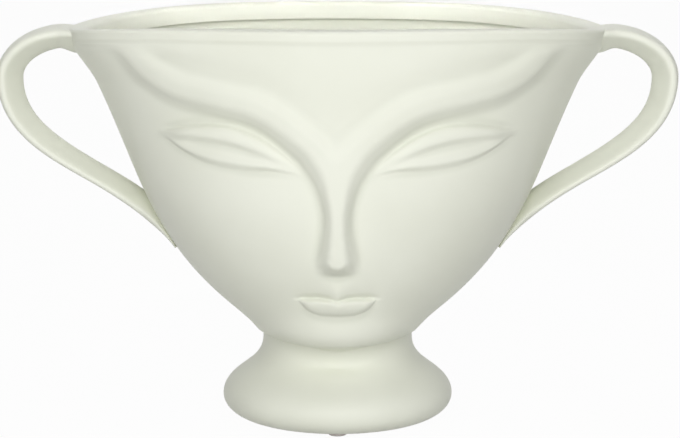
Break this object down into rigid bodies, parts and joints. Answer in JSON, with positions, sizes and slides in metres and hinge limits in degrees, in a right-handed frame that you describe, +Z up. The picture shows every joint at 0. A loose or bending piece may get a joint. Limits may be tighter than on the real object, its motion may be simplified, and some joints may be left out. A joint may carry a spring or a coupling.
{
  "type": "face flower pot",
  "caption": "Oval stoneware planter with a stylised mask in relief on its front, a loop handle at each end and a flared hollow foot on soft bumpers; holds a potted plant or soil.",
  "frame": {"origin": "on the ground, below the middle of the foot", "axes": "+Z up, the mask looks along -Y, the handles lie along X with the right handle of the picture at +X"},
  "size_m": [0.3606, 0.1835, 0.2175],
  "materials": {
    "ivory_glaze": "satin",
    "soft_bumper": "satin"
  },
  "bodies": {
    "root": {"face_bowl": "ivory_glaze", "pedestal_foot": "ivory_glaze", "left_handle": "ivory_glaze", "right_handle": "ivory_glaze", "bumper_front": "soft_bumper", "bumper_right": "soft_bumper", "bumper_back": "soft_bumper", "bumper_left": "soft_bumper"}
  },
  "joints": []
}
